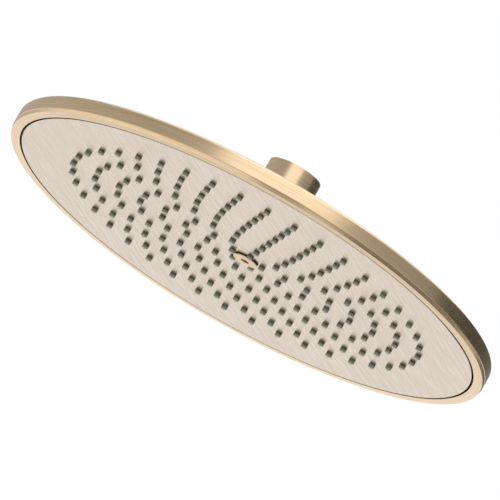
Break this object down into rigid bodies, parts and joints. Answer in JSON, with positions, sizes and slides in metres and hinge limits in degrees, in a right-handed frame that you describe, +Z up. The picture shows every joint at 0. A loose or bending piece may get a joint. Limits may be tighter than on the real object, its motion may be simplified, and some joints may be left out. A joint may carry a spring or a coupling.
{
  "type": "shower head",
  "caption": "Slim round rain shower head in brushed bronze, with a flat face of soft silicone nozzles, a domed back and a threaded inlet collar.",
  "frame": {"origin": "on the head's axis, in the plane of the nozzle tips, which is the head's lowest level", "axes": "+Z up along the axis, out of the inlet's mouth; the spray face looks down -Z; -Y is the side seen in the picture"},
  "size_m": [0.3, 0.3, 0.0602],
  "materials": {
    "bronze": "brushed bronze plating",
    "brass": "turned",
    "steel": "plain",
    "silicone": "translucent grey",
    "black_rubber": "matt",
    "white_plastic": "moulded",
    "green_plastic": "moulded"
  },
  "bodies": {
    "root": {"top_shell": "bronze", "rim_ring": "bronze", "face_plate": "bronze", "nozzle_mat": "silicone", "centre_screw": "bronze", "centre_washer": "black_rubber", "centre_insert": "brass", "backing_plate": "white_plastic", "chamber_plate": "white_plastic", "chamber_seal": "black_rubber", "chamber_screws": "steel", "stud_nuts": "steel", "inlet_neck": "bronze", "neck_gasket": "black_rubber", "neck_screws": "steel", "inlet_collar": "bronze", "inlet_fitting": "brass", "fitting_seal": "black_rubber", "feed_tube": "brass", "tube_seals": "black_rubber", "flow_regulator": "green_plastic", "regulator_seal": "black_rubber", "filter_washer": "black_rubber", "filter_screen": "steel"}
  },
  "joints": []
}
